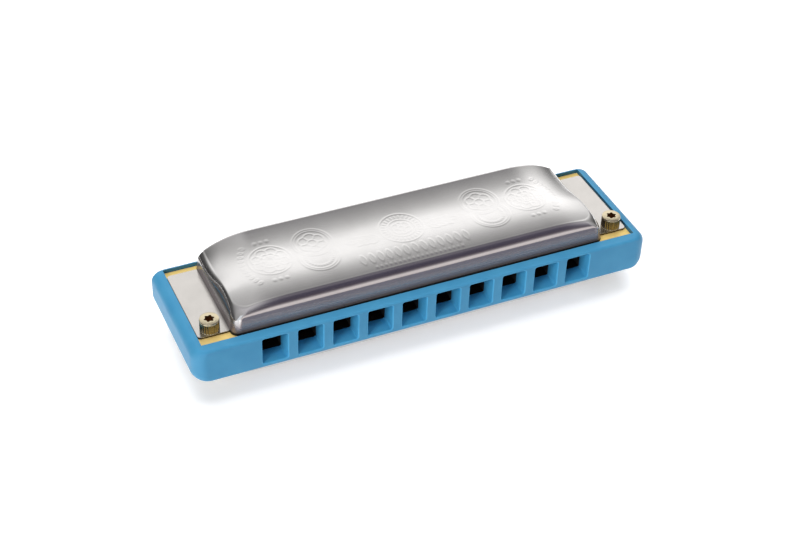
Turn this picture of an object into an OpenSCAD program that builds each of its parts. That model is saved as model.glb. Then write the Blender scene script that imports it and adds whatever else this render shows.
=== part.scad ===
// Ten-hole diatonic harmonica, millimetres. X runs along the row of holes, hole 1 at -X.
// The player's side is -Y. +Z is up, and the origin is under the centre of the whole instrument.

/* [Comb] */
// Length of the comb
comb_length = 101.1; // [99:0.1:104]
// Depth of the comb, from the mouth side to the back
comb_depth = 27.8; // [26.8:0.1:29]
// Height of the comb between its two rims
comb_height = 8.0; // [7.8:0.1:8.4]
// Radius of the comb's front corners seen from above
front_corner_r = 2.9; // [2:0.1:4]
// Radius of the comb's back corners seen from above
back_corner_r = 0.8; // [0.5:0.1:2]
// Radius of the comb's long edges
comb_edge_r = 0.6; // [0.4:0.1:1]
// Radius of the upper and lower edges of the comb's rounded ends
comb_end_r = 2.2; // [1:0.1:3]
// Thickness of the ledge in front of the reed plates
front_ledge = 2.27; // [2:0.01:2.5]
// Thickness of the rim behind the reed plates
back_rim = 0.65; // [0.6:0.01:1]
// Thickness of the rim at each end
end_rim = 2.48; // [2.3:0.01:3]

/* [Mouth holes] */
// Distance between the centres of two holes
hole_pitch = 7.5; // [7.4:0.01:7.6]
// Width of a hole at the front face
hole_width = 5.5; // [5.2:0.1:5.6]
// Width of an air chamber behind the hole
chamber_width = 4.6; // [4.4:0.1:4.8]
// Length of the longest chamber, behind hole 1
chamber_length = 22; // [21.5:0.1:22.4]
// How much each chamber is shorter than the one before it
chamber_step = 0.6; // [0.4:0.1:0.7]

/* [Reeds] */
// Thickness of a reed plate
plate_t = 0.9; // [0.8:0.05:1]
// Free length of the reeds of hole 1
reed_length = 15; // [14:0.1:15.2]
// How much each reed is shorter than the one before it
reed_step = 0.6; // [0.5:0.05:0.65]
// Width of the reeds of hole 1
reed_width = 2.4; // [2.2:0.05:2.5]
// Width of the reeds of hole 10
reed_width_last = 2.0; // [1.8:0.05:2.2]
// Thickness of a reed
reed_t = 0.24; // [0.2:0.01:0.3]
// Side gap between a reed and its slot
reed_gap = 0.05; // [0.03:0.01:0.06]

/* [Covers] */
// Thickness of the cover sheet
sheet_t = 0.45; // [0.4:0.01:0.5]
// Half the length of a cover between the feet of its end walls
cover_half = 41.4; // [41:0.1:41.8]
// Distance from the comb's face to the front skirt of a cover
skirt_y = 2.95; // [2.85:0.01:3.1]
// Height of the low front plateau above the comb's middle
plateau_top = 9.4; // [9.3:0.05:9.5]
// Height of the shallow dish above the comb's middle
dish_top = 9.25; // [9.1:0.05:9.3]
// Height of the rear crest above the comb's middle
crest_top = 10.15; // [9.9:0.05:10.5]
// Radius of the rolled hem along the rear edge
hem_r = 0.7; // [0.6:0.05:0.8]

/* [Fasteners] */
// Diameter of a cover screw's head
head_d = 4.0; // [3.5:0.1:4.2]
// Height of a cover screw's head
head_h = 2.8; // [2.5:0.1:3]
// Thread diameter of the cover screws
screw_d = 2.0; // [1.8:0.1:2]
// Thread diameter of the reed plate screws
plate_screw_d = 1.4; // [1.2:0.1:1.6]

/* [Hidden] */
HOLES = 10;
PAIRS = [for (kind = ["blow", "draw"], i = [1:HOLES]) str(kind, "_reed_", i)];
$fn = 48;

half_height = comb_height / 2;
flange_top = half_height - 0.4;          // a flange lies a little below the comb's rim
plate_outer = flange_top - sheet_t;      // outer face of a reed plate, from the comb's middle
plate_inner = plate_outer - plate_t;     // chamber side of a reed plate
plate_gap = 0.1;                         // play between a plate and the recess around it
draw_plate_y = front_ledge + 1.03;       // the lower plate starts behind a step in the ledge
recess_half = comb_length / 2 - end_rim;
recess_back = comb_depth - back_rim;
brass = [0.86, 0.70, 0.38];
pale_brass = [0.86, 0.76, 0.50];
steel = [0.80, 0.79, 0.77];
blue = [0.22, 0.50, 0.68];
eps = 0.01;

// Hole and chamber of each note, i = 0 to 9
function hole_x(i) = (i - (HOLES - 1) / 2) * hole_pitch;
function chamber_back(i) = draw_plate_y + chamber_length - i * chamber_step;
mouth_top = half_height - 0.6;
mouth_bottom = -half_height + 0.95;

// Reeds: free length, width and the place where the free part starts
foot_length = 3.0;
foot_t = 0.3;
reed_lift = 0.02;                        // gap between a reed at rest and its plate
root_gap = 0.02;                         // gap between a reed's round root and its foot
function free_length(i) = reed_length - i * reed_step;
function width_of(i) = reed_width + (reed_width_last - reed_width) * i / (HOLES - 1);
function blow_root(i) = chamber_back(i) - 0.6 - foot_length;
draw_root = draw_plate_y + 4.3;
blow_reed_z = plate_inner - reed_lift - reed_t / 2;
draw_reed_z = -plate_outer - reed_lift - reed_t / 2;
rivet_d = 1.0;
rivet_head_d = 1.8;
rivet_head_h = 0.3;

// Screws
cover_screw_x = 44.9;
cover_screw_y = 6.7;
socket_d = 1.9;
nut_h = head_h;
plate_screw_head_d = 2.6;
plate_screw_head_h = 0.8;
// Each reed plate screw stands in the wall between two chambers
PLATE_SCREWS = [[-15, 5.6], [15, 5.6], [-30, 23.6], [0, 23.6], [30, 23.6]];

// Everything below is drawn from the comb's front face and middle plane
module placed() { translate([0, -comb_depth / 2, crest_top]) children(); }

// ---------------------------------------------------------------- comb

module rounded_rect(w, h, r) {
    hull_x = w / 2 - r;
    hull_y = h / 2 - r;
    square([w, 2 * hull_y], center = true);
    square([2 * hull_x, h], center = true);
    for (x = [-hull_x, hull_x], y = [-hull_y, hull_y]) translate([x, y]) circle(r);
}

// The comb seen from above, with its front edge on Y = 0
module comb_outline() {
    for (c = [[front_corner_r, front_corner_r], [back_corner_r, comb_depth - back_corner_r]]) {
        for (x = [-1, 1]) translate([x * (comb_length / 2 - c[0]), c[1]]) circle(c[0]);
        translate([c[0] - comb_length / 2, c[1] - c[0]]) square([comb_length - 2 * c[0], 2 * c[0]]);
    }
    translate([-comb_length / 2, front_corner_r])
        square([comb_length, comb_depth - front_corner_r - back_corner_r]);
}

module comb_blank() {
    intersection() {
        translate([0, 0, -half_height]) linear_extrude(comb_height) comb_outline();
        translate([0, comb_depth / 2, 0]) rotate([90, 0, 90])
            linear_extrude(comb_length + 2, center = true)
                rounded_rect(comb_depth, comb_height, comb_edge_r);
        translate([0, comb_depth / 2, 0]) rotate([90, 0, 0])
            linear_extrude(comb_depth + 2, center = true)
                rounded_rect(comb_length, comb_height, comb_end_r);
    }
}

// A box in the comb's recess, from one depth to another and between two heights
module recess(y0, y1, z0, z1) {
    translate([-recess_half, y0, z0]) cube([2 * recess_half, y1 - y0, z1 - z0]);
}

// A mouth hole narrows from the front face to the chamber, in width and in height
module mouth_funnel() {
    funnel_y = draw_plate_y + eps;
    intersection() {
        translate([0, 0, -half_height]) linear_extrude(comb_height)
            polygon([[-hole_width / 2, -1], [hole_width / 2, -1], [hole_width / 2, 0],
                [chamber_width / 2, funnel_y], [-chamber_width / 2, funnel_y],
                [-hole_width / 2, 0]]);
        rotate([90, 0, 90]) linear_extrude(hole_width + 2, center = true)
            polygon([[-1, mouth_bottom], [0, mouth_bottom], [0.6, mouth_bottom + 0.5],
                [funnel_y, -plate_inner], [funnel_y, plate_inner], [front_ledge - 0.25, plate_inner],
                [0, mouth_top], [-1, mouth_top]]);
    }
}

module comb() {
    color(blue) placed() difference() {
        comb_blank();
        recess(front_ledge, recess_back, plate_inner, half_height + 1);
        recess(front_ledge, recess_back, -half_height - 1, -plate_outer);
        recess(draw_plate_y, recess_back, -plate_outer - eps, -plate_inner);
        for (i = [0:HOLES - 1]) translate([hole_x(i), 0, 0]) {
            mouth_funnel();
            translate([-chamber_width / 2, draw_plate_y, -plate_inner - 1])
                cube([chamber_width, chamber_back(i) - draw_plate_y, 2 * plate_inner + 2]);
        }
        cover_screw_holes(0.15);
        plate_screw_holes(0.15);
    }
}

module cover_screw_holes(gap) {
    for (x = [-cover_screw_x, cover_screw_x]) translate([x, cover_screw_y, 0])
        cylinder(h = 2 * comb_height, r = screw_d / 2 + gap, center = true);
}

module plate_screw_holes(gap) {
    for (p = PLATE_SCREWS) translate([p[0], p[1], 0])
        cylinder(h = 2 * comb_height, r = plate_screw_d / 2 + gap, center = true);
}

// ---------------------------------------------------------------- reed plates

// root and direction (+1 towards the back) say where a reed's slot starts and where it goes
module slot(i, root, direction) {
    slot_length = free_length(i) + 0.1 + reed_t / 2;
    slot_width = width_of(i) + 2 * reed_gap;
    start = root - direction * reed_t / 2;
    translate([hole_x(i) - slot_width / 2, direction > 0 ? start : start - slot_length, -comb_height])
        cube([slot_width, slot_length, 2 * comb_height]);
}

module rivet_hole(i, root, direction) {
    translate([hole_x(i), root - direction * foot_length / 2, -comb_height])
        cylinder(h = 2 * comb_height, r = rivet_d / 2 + 0.01);
}

module plate_blank(y0, z) {
    translate([-recess_half + plate_gap, y0 + plate_gap, z])
        cube([2 * (recess_half - plate_gap), recess_back - y0 - 2 * plate_gap, plate_t]);
}

module blow_reed_plate() {
    color(brass) placed() difference() {
        plate_blank(front_ledge, plate_inner);
        for (i = [0:HOLES - 1]) {
            slot(i, blow_root(i), -1);
            rivet_hole(i, blow_root(i), -1);
        }
        cover_screw_holes(0.1);
        plate_screw_holes(0.1);
    }
}

module draw_reed_plate() {
    color(brass) placed() difference() {
        plate_blank(draw_plate_y, -plate_outer);
        for (i = [0:HOLES - 1]) {
            slot(i, draw_root, 1);
            rivet_hole(i, draw_root, 1);
        }
        cover_screw_holes(0.1);
        plate_screw_holes(0.02);
    }
}

// ---------------------------------------------------------------- reeds

// The free tongue: its root end is a half-round about the hinge line, so it turns clear of its foot
module tongue(i, root, z, direction) {
    w = width_of(i);
    reach = free_length(i);
    color(brass) placed() translate([hole_x(i), root, z]) {
        rotate([0, 90, 0]) cylinder(h = w, r = reed_t / 2, center = true);
        translate([-w / 2, direction > 0 ? 0 : -reach, -reed_t / 2]) cube([w, reach, reed_t]);
    }
}

// The clamped end of one reed, on the plate face at height z; side is +1 if it stands up from it
module foot(i, root, z, side, direction) {
    w = width_of(i) + 0.4;
    near = root - direction * (reed_t / 2 + root_gap);
    translate([hole_x(i), direction > 0 ? near - foot_length : near, side > 0 ? z : z - foot_t])
        difference() {
            translate([-w / 2, 0, 0]) cube([w, foot_length, foot_t]);
            translate([0, root - direction * foot_length / 2
                - (direction > 0 ? near - foot_length : near), -1])
                cylinder(h = foot_t + 2, r = rivet_d / 2 + 0.01);
        }
}

// A rivet through a plate and a foot: z0 to z1 is what it clamps
module rivet(i, root, z0, z1, direction) {
    translate([hole_x(i), root - direction * foot_length / 2, z0]) {
        cylinder(h = z1 - z0, r = rivet_d / 2);
        translate([0, 0, -rivet_head_h]) cylinder(h = rivet_head_h, r = rivet_head_d / 2);
        translate([0, 0, z1 - z0]) cylinder(h = rivet_head_h, r = rivet_head_d / 2);
    }
}

module blow_reed_feet() {
    color(brass) placed()
        for (i = [0:HOLES - 1]) foot(i, blow_root(i), plate_inner, -1, -1);
}

module draw_reed_feet() {
    color(brass) placed()
        for (i = [0:HOLES - 1]) foot(i, draw_root, -plate_outer, -1, 1);
}

module blow_reed_rivets() {
    color(pale_brass) placed()
        for (i = [0:HOLES - 1]) rivet(i, blow_root(i), plate_inner - foot_t, plate_outer, -1);
}

module draw_reed_rivets() {
    color(pale_brass) placed()
        for (i = [0:HOLES - 1]) rivet(i, draw_root, -plate_outer - foot_t, -plate_inner, 1);
}

// ---------------------------------------------------------------- covers

// Grid of the pressed sheet: columns along the front, rows along each end, levels up the walls
COLS = 30;
ROWS = 12;
LEVELS = 6;
HEM_ROWS = 4;
ARC = 3;                                 // steps of the half corner on each side of its middle
crest_y = recess_back - 1.45;            // line of the rear crest
dish_y = 17.5;                           // lowest line of the dish
plateau_y = 11.9;                        // the front plateau's highest line
rear_power = 1.8;                        // over 1, the rise to the crest steepens towards it
front_fall = 0.55;                       // how far the top falls from the plateau to the shoulder
wall_low = flange_top - 0.4;             // lower edge of the walls
shoulder_z = 6.85;                       // where the skirt turns into the shoulder
shoulder_in = 2.35;                      // how far the shoulder reaches back
front_lean = 0.62;                       // how far the skirt leans back up to its shoulder
end_wall_z = 5.7;                        // where an end wall starts to round over
end_lean = 0.35;                         // how far an end wall leans in up to there
end_in = 1.8;                            // how far the rounding of an end wall reaches in
corner_low = 1.9;
corner_high = 3.0;
fall_start = 28;                         // the top is level along the comb out to here, then falls
fall_front = 0.9;                        // depth of that fall at an end of the plateau
fall_back = 2.55;                        // the same at an end of the crest
fall_power = 2.6;
shoulder_power = 1.15;                   // over 1, the shoulder is a soft chamfer
end_power = 1.3;                         // the same for the rounding of an end

function clamp(v, lo, hi) = min(max(v, lo), hi);
function mix(a, b, t) = a + (b - a) * t;

// Outer height of a cover along its middle: a low plateau, a shallow dish and a rise to the crest
function middle_z(y) = y > dish_y
    ? mix(dish_top, crest_top, pow((y - dish_y) / (crest_y - dish_y), rear_power))
    : y > plateau_y
        ? mix(plateau_top, dish_top, (1 - cos(180 * (y - plateau_y) / (dish_y - plateau_y))) / 2)
        : plateau_top - front_fall * pow((plateau_y - y) / (plateau_y - skirt_y - shoulder_in), 2);

// How far the top has fallen below that at an end of the cover, from the plateau to the crest
function smooth_step(t) = t * t * (3 - 2 * t);
function end_fall(y) = mix(fall_front, fall_back, smooth_step(clamp((y - 10) / 16, 0, 1)));

// Outer height of the top of a cover
function top_z(x, y) =
    let (s = clamp((abs(x) - fall_start) / (cover_half - end_in - fall_start), 0, 1))
    middle_z(y) - end_fall(y) * pow(s, fall_power);

// Direction of the sheet at a level: 0 on the walls, 90 on the top
function level_angle(k) = k < 2 ? 0 : 90 * (k - 1) / (LEVELS - 1);
function front_inset(k, e) =
    k == 0 ? e : mix(shoulder_in, front_lean + e, pow(cos(level_angle(k)), shoulder_power));
function end_inset(k, e) = k == 0 ? e : mix(end_in, end_lean + e, pow(cos(level_angle(k)), end_power));
function corner_radius(k, e) = mix(corner_low - e, corner_high, sin(level_angle(k)));

// Height at a level of a wall that ends at the height top. f is 1 on the front, 0 on an end.
function level_z(k, top, e, f) = let (start = mix(end_wall_z, shoulder_z, f))
    k == 0 ? wall_low
    : start + (top - e - start) * pow(sin(level_angle(k)), mix(end_power, shoulder_power, f));

// Plan point of the loop around one level. s runs from the left end's back, round the front, to the
// right end's back, e is how far the loop lies inside the outer face.
SIDES = ROWS;
AROUND = 2 * SIDES + COLS;
function mirrored(p) = [-p[0], p[1]];
function loop_point(s, k, e) = s > AROUND / 2 ? mirrored(loop_point(AROUND - s, k, e)) :
    let (r = corner_radius(k, e), cx = cover_half - end_inset(k, e) - r,
         cy = skirt_y + front_inset(k, e) + r, straight = SIDES - ARC)
    s <= straight ? [-cx - r, mix(crest_y, cy, s / straight)]
    : s <= SIDES + ARC
        ? let (a = 180 + 45 * (s - straight) / ARC) [-cx + r * cos(a), cy + r * sin(a)]
        : [mix(-cx, 0, (s - SIDES - ARC) / (COLS / 2 - ARC)), cy - r];

function wall_point(s, k, e) = let (p = loop_point(s, k, e), q = loop_point(s, LEVELS, e),
        turned = clamp((min(s, AROUND - s) - SIDES + ARC) / (2 * ARC), 0, 1))
    [p[0], p[1], level_z(k, top_z(q[0], q[1]), e, pow(sin(90 * turned), 2))];

// Plan point of the top, blended between its front, its two ends and its back
function back_point(i) = let (q = loop_point(0, LEVELS, 0)) [mix(q[0], -q[0], i / COLS), crest_y];
function top_plan(i, j) =
    let (u = i / COLS, v = j / ROWS,
         front = loop_point(SIDES + i, LEVELS, 0), back = back_point(i),
         left = loop_point(SIDES - j, LEVELS, 0), right = mirrored(left),
         c00 = loop_point(SIDES, LEVELS, 0), c10 = mirrored(c00),
         c01 = back_point(0), c11 = mirrored(c01))
    (1 - v) * front + v * back + (1 - u) * left + u * right
        - (1 - v) * ((1 - u) * c00 + u * c10) - v * ((1 - u) * c01 + u * c11);
function top_point(i, j, e) = let (p = top_plan(i, j)) [p[0], p[1], top_z(p[0], p[1]) - e];

// The hem rolls over from the crest, round its own centre line
function hem_point(i, m, e) =
    let (p = back_point(i), a = 90 - 150 * m / HEM_ROWS, r = hem_r - e)
    [p[0], crest_y + r * cos(a), top_z(p[0], crest_y) - hem_r + r * sin(a)];

// Index of each grid point in the list that sheet_points() makes
WALL_COUNT = (LEVELS + 1) * (AROUND + 1);
TOP_COUNT = (COLS - 1) * ROWS;
SHEET_COUNT = WALL_COUNT + TOP_COUNT + HEM_ROWS * (COLS + 1);
function wall_index(s, k) = k * (AROUND + 1) + s;
function top_index(i, j) = j == 0 ? wall_index(SIDES + i, LEVELS)
    : i == 0 ? wall_index(SIDES - j, LEVELS)
    : i == COLS ? wall_index(SIDES + COLS + j, LEVELS)
    : WALL_COUNT + (j - 1) * (COLS - 1) + i - 1;
function hem_index(i, m) = m == 0 ? top_index(i, ROWS)
    : WALL_COUNT + TOP_COUNT + (m - 1) * (COLS + 1) + i;

function sheet_points(e) = concat(
    [for (k = [0:LEVELS], s = [0:AROUND]) wall_point(s, k, e)],
    [for (j = [1:ROWS], i = [1:COLS - 1]) top_point(i, j, e)],
    [for (m = [1:HEM_ROWS], i = [0:COLS]) hem_point(i, m, e)]);

SHEET_QUADS = concat(
    [for (k = [0:LEVELS - 1], s = [0:AROUND - 1])
        [wall_index(s, k), wall_index(s, k + 1), wall_index(s + 1, k + 1), wall_index(s + 1, k)]],
    [for (j = [0:ROWS - 1], i = [0:COLS - 1])
        [top_index(i, j), top_index(i, j + 1), top_index(i + 1, j + 1), top_index(i + 1, j)]],
    [for (m = [0:HEM_ROWS - 1], i = [0:COLS - 1])
        [hem_index(i, m), hem_index(i, m + 1), hem_index(i + 1, m + 1), hem_index(i + 1, m)]]);

// The free edge of the sheet, once round
SHEET_EDGE = concat(
    [for (s = [0:AROUND]) wall_index(s, 0)],
    [for (k = [1:LEVELS]) wall_index(AROUND, k)],
    [for (m = [1:HEM_ROWS]) hem_index(COLS, m)],
    [for (i = [1:COLS]) hem_index(COLS - i, HEM_ROWS)],
    [for (m = [1:HEM_ROWS - 1]) hem_index(0, HEM_ROWS - m)],
    [for (k = [0:LEVELS - 1]) wall_index(0, LEVELS - k)]);

module cover_shell() {
    n = len(SHEET_EDGE);
    triangles = [for (q = SHEET_QUADS, t = [[q[0], q[1], q[2]], [q[0], q[2], q[3]]]) t];
    polyhedron(concat(sheet_points(0), sheet_points(sheet_t)), concat(triangles,
        [for (t = triangles) [t[2], t[1], t[0]] + SHEET_COUNT * [1, 1, 1]],
        [for (i = [0:n - 1]) let (a = SHEET_EDGE[i], b = SHEET_EDGE[(i + 1) % n])
            each [[a, b, b + SHEET_COUNT], [a, b + SHEET_COUNT, a + SHEET_COUNT]]]));
}

flange_out = 47.85;                      // how far a flange reaches along the comb
flange_front = 4.9;
flange_back = 25.5;
flange_corner_r = 0.8;

// The flat foot at one end of a cover, with the hole for its screw
module flange() {
    inner = cover_half - sheet_t;
    difference() {
        translate([(inner + flange_out) / 2, (flange_front + flange_back) / 2, plate_outer])
            linear_extrude(sheet_t)
                rounded_rect(flange_out - inner, flange_back - flange_front, flange_corner_r);
        translate([cover_screw_x, cover_screw_y, plate_outer - 1])
            cylinder(h = sheet_t + 2, r = screw_d / 2 + 0.1);
    }
}

module cover() {
    cover_shell();
    flange();
    mirror([1, 0, 0]) flange();
}

module top_cover() { color(steel) placed() cover(); }
module bottom_cover() { color(steel) placed() mirror([0, 0, 1]) cover(); }

// ---------------------------------------------------------------- fasteners

// A six-lobed drive socket
module lobed_socket(d, depth) {
    cylinder(h = depth, d = d * 0.74);
    for (a = [0:60:300]) rotate(a) translate([d * 0.36, 0, 0]) cylinder(h = depth, d = d * 0.28);
}

// A round head with a broken upper edge, standing on z = 0
module round_head(d, h) {
    edge = 0.35;
    rotate_extrude() polygon([[0, 0], [d / 2, 0], [d / 2, h - edge], [d / 2 - edge, h], [0, h]]);
}

module cover_screw(x) {
    color(pale_brass) placed() translate([x, cover_screw_y, flange_top]) difference() {
        union() {
            round_head(head_d, head_h);
            translate([0, 0, -2 * flange_top - 2]) cylinder(h = 2 * flange_top + 2 + eps, d = screw_d);
        }
        translate([0, 0, head_h - 1.3]) lobed_socket(socket_d, 2);
    }
}

module cover_nut(x) {
    color(pale_brass) placed() translate([x, cover_screw_y, -flange_top]) difference() {
        mirror([0, 0, 1]) round_head(head_d, nut_h);
        translate([0, 0, -2.3]) cylinder(h = 3, r = screw_d / 2 + 0.02);
    }
}

module cover_screw_left() { cover_screw(-cover_screw_x); }
module cover_screw_right() { cover_screw(cover_screw_x); }
module cover_nut_left() { cover_nut(-cover_screw_x); }
module cover_nut_right() { cover_nut(cover_screw_x); }

// Cheese-head screws from the upper plate down to the lower one, each with a straight slot
module reed_plate_screws() {
    color(pale_brass) placed() for (p = PLATE_SCREWS) translate([p[0], p[1], plate_outer])
        difference() {
            union() {
                cylinder(h = plate_screw_head_h, d = plate_screw_head_d);
                translate([0, 0, -2 * plate_outer])
                    cylinder(h = 2 * plate_outer + eps, d = plate_screw_d);
            }
            translate([-plate_screw_head_d, -0.2, plate_screw_head_h - 0.4])
                cube([2 * plate_screw_head_d, 0.4, 1]);
        }
}

comb();
blow_reed_plate();
draw_reed_plate();
top_cover();
bottom_cover();
cover_screw_left();
cover_screw_right();
cover_nut_left();
cover_nut_right();
reed_plate_screws();
blow_reed_feet();
draw_reed_feet();
blow_reed_rivets();
draw_reed_rivets();
for (i = [0:HOLES - 1]) {
    tongue(i, blow_root(i), blow_reed_z, -1);
    tongue(i, draw_root, draw_reed_z, 1);
}
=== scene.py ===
"""The looks of the ten-hole harmonica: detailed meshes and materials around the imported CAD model.

The object's lengths are in millimetres and become metres in place(). As in the CAD source, y is counted
from the comb's front face and z from the comb's middle plane. The stage round it is measured in metres.
"""
import math

import bmesh
import bpy
import numpy as np
from mathutils import Matrix, Vector


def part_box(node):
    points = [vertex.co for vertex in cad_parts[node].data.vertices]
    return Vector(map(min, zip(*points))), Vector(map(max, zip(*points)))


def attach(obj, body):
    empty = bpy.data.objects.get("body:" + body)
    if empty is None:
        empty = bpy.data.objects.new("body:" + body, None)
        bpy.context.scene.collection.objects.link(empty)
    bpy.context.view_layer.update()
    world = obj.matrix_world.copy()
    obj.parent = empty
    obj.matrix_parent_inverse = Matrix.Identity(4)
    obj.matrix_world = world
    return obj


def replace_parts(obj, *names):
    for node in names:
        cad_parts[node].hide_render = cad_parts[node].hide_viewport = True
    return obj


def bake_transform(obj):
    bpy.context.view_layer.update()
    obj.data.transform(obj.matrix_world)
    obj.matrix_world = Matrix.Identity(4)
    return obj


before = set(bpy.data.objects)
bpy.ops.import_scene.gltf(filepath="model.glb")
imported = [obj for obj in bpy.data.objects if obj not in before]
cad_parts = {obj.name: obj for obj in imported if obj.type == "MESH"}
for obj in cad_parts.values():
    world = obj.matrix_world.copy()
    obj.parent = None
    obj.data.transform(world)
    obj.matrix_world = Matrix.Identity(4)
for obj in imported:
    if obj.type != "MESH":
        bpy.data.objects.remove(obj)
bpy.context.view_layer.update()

# ------------------------------------------------------------------ driving dimensions, in mm

MM = 0.001
HOLES = 10
BODY = "body"
SHARP = 30                       # degrees from which an edge of the comb, a screw or a reed stays sharp
SHEET_SHARP = 50                 # the same for the cover sheets


def mm_box(node):
    """The lowest and highest corners of a CAD node, in millimetres."""
    low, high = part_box(node)
    return np.array(low) / MM, np.array(high) / MM


comb_low, comb_high = mm_box("comb")
LENGTH, DEPTH, HEIGHT = comb_high - comb_low
FRONT_Y = comb_low[1]
MID_Z = (comb_low[2] + comb_high[2]) / 2
HALF_HEIGHT = HEIGHT / 2
PITCH = 7.5

plate_low, plate_high = mm_box("blow_reed_plate")
PLATE_INNER = plate_low[2] - MID_Z
PLATE_OUTER = plate_high[2] - MID_Z
PLATE_GAP = 0.1
RECESS_HALF = plate_high[0] + PLATE_GAP
FRONT_LEDGE = plate_low[1] - PLATE_GAP - FRONT_Y
RECESS_BACK = plate_high[1] + PLATE_GAP - FRONT_Y
DRAW_PLATE_Y = mm_box("draw_reed_plate")[0][1] - PLATE_GAP - FRONT_Y
SHEET_T = 0.45
FLANGE_TOP = PLATE_OUTER + SHEET_T


def place(points):
    """Points given from the comb's front and middle, in mm, as points of the shared frame in metres."""
    moved = np.asarray(points, float) + np.array([0.0, FRONT_Y, MID_Z])
    return moved * MM


# ------------------------------------------------------------------ mesh helpers


def new_piece(name, points, faces, material, sharp=35):
    """A mesh object from points in mm and faces, smooth but for edges sharper than `sharp` degrees."""
    mesh = bpy.data.meshes.new(name)
    mesh.from_pydata([tuple(p) for p in place(points)], [], [tuple(f) for f in faces])
    mesh.update()
    piece = bpy.data.objects.new(name, mesh)
    bpy.context.scene.collection.objects.link(piece)
    mesh.materials.append(material)
    make_outward(mesh)
    shade(mesh, sharp)
    return piece


def make_outward(mesh):
    """Turns all the normals outwards."""
    bm = bmesh.new()
    bm.from_mesh(mesh)
    bmesh.ops.recalc_face_normals(bm, faces=bm.faces)
    bm.to_mesh(mesh)
    bm.free()


def shade(mesh, sharp):
    """Smooth shading but for edges sharper than `sharp` degrees."""
    mesh.polygons.foreach_set("use_smooth", [True] * len(mesh.polygons))
    mesh.set_sharp_from_angle(angle=math.radians(sharp))


def apply_modifiers(piece):
    """Replaces the piece's mesh with what its modifiers make."""
    graph = bpy.context.evaluated_depsgraph_get()
    mesh = bpy.data.meshes.new_from_object(piece.evaluated_get(graph))
    piece.modifiers.clear()
    old = piece.data
    piece.data = mesh
    mesh.name = piece.name
    bpy.data.meshes.remove(old)


def cut(piece, points, faces, material):
    """Takes a closed cutter away from the piece; the faces it leaves get the given material."""
    cutter = new_piece("cutter", points, faces, material)
    modifier = piece.modifiers.new("cut", "BOOLEAN")
    modifier.operation = "DIFFERENCE"
    modifier.solver = "EXACT"
    modifier.material_mode = "TRANSFER"
    modifier.object = cutter
    bpy.context.view_layer.update()
    apply_modifiers(piece)
    bpy.data.objects.remove(cutter)


def weight_normals(piece):
    """Keeps flat faces flat beside small fillets."""
    modifier = piece.modifiers.new("normals", "WEIGHTED_NORMAL")
    modifier.keep_sharp = True
    modifier.weight = 100
    apply_modifiers(piece)


def soften(piece, width, segments=2, angle=35):
    """A small bevel, its width in mm, on every edge sharper than `angle` degrees."""
    modifier = piece.modifiers.new("bevel", "BEVEL")
    modifier.width = width * MM
    modifier.segments = segments
    modifier.limit_method = "ANGLE"
    modifier.angle_limit = math.radians(angle)
    modifier.use_clamp_overlap = True
    apply_modifiers(piece)
    shade(piece.data, angle)


def round_corner(corner, steps):
    """The angles round one corner of a rectangle, counted anticlockwise from the low left corner."""
    return [math.radians(180 + 90 * corner + 90 * i / steps) for i in range(steps + 1)]


class Shape:
    """Points and faces collected from several simple closed solids."""

    def __init__(self):
        self.points = []
        self.faces = []

    def add(self, points, faces):
        """One more solid, its faces given as indices into its own points."""
        start = len(self.points)
        self.points += [tuple(p) for p in points]
        self.faces += [tuple(start + i for i in f) for f in faces]

    def loft(self, rings):
        """Closed rings with the same number of points, joined in order and closed at both ends."""
        n = len(rings[0])
        points = [p for ring in rings for p in ring]
        faces = [(r * n + i, r * n + (i + 1) % n, (r + 1) * n + (i + 1) % n, (r + 1) * n + i)
                 for r in range(len(rings) - 1) for i in range(n)]
        faces.append(tuple(reversed(range(n))))
        faces.append(tuple((len(rings) - 1) * n + i for i in range(n)))
        self.add(points, faces)

    def box(self, low, high):
        self.loft([lying(low, high, z) for z in (low[2], high[2])])

    def rod(self, x, y, r, steps):
        """An upright rod through the whole height of the comb."""
        around = [2 * math.pi * i / steps for i in range(steps)]
        self.loft([[(x + r * math.cos(a), y + r * math.sin(a), z) for a in around]
                   for z in (-HEIGHT, HEIGHT)])


def lying(low, high, z):
    """The corners of a level rectangle."""
    return [(low[0], low[1], z), (high[0], low[1], z), (high[0], high[1], z), (low[0], high[1], z)]


def mix(a, b, t):
    return a + (b - a) * t


def smooth_step(t):
    """0 up to t = 0 and 1 from t = 1, with an even curve between."""
    t = np.clip(t, 0, 1)
    return t * t * (3 - 2 * t)


# ------------------------------------------------------------------ materials


FINE_BUMP = 0.02                 # depth of every surface's grain
SPREAD = (0.3, 0.7)              # the part of a noise's range that colours and roughness span


class Tree:
    """Short names for building a node tree."""

    def __init__(self, owner):
        owner.use_nodes = True
        self.tree = owner.node_tree

    def add(self, kind, **settings):
        node = self.tree.nodes.new(kind)
        for key, value in settings.items():
            setattr(node, key, value)
        return node

    def link(self, out, socket):
        self.tree.links.new(out, socket)

    def math(self, operation, *values):
        """An arithmetic node; each value is a number or another node's output."""
        node = self.add("ShaderNodeMath", operation=operation)
        for socket, value in zip(node.inputs, values):
            if isinstance(value, (int, float)):
                socket.default_value = value
            else:
                self.link(value, socket)
        return node.outputs[0]

    def ramp(self, factor, stops):
        """A colour ramp from a list of (position, colour)."""
        node = self.add("ShaderNodeValToRGB")
        band = node.color_ramp
        while len(band.elements) < len(stops):
            band.elements.new(0.5)
        for element, (at, colour) in zip(band.elements, stops):
            element.position = at
            element.color = (*colour, 1)
        self.link(factor, node.inputs["Fac"])
        return node.outputs["Color"]

    def combine(self, operation, first, second):
        """Two colours put together by a blend mode such as ADD or MULTIPLY."""
        node = self.add("ShaderNodeMix", data_type="RGBA", blend_type=operation)
        node.inputs[0].default_value = 1
        self.link(first, node.inputs[6])
        self.link(second, node.inputs[7])
        return node.outputs[2]


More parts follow.
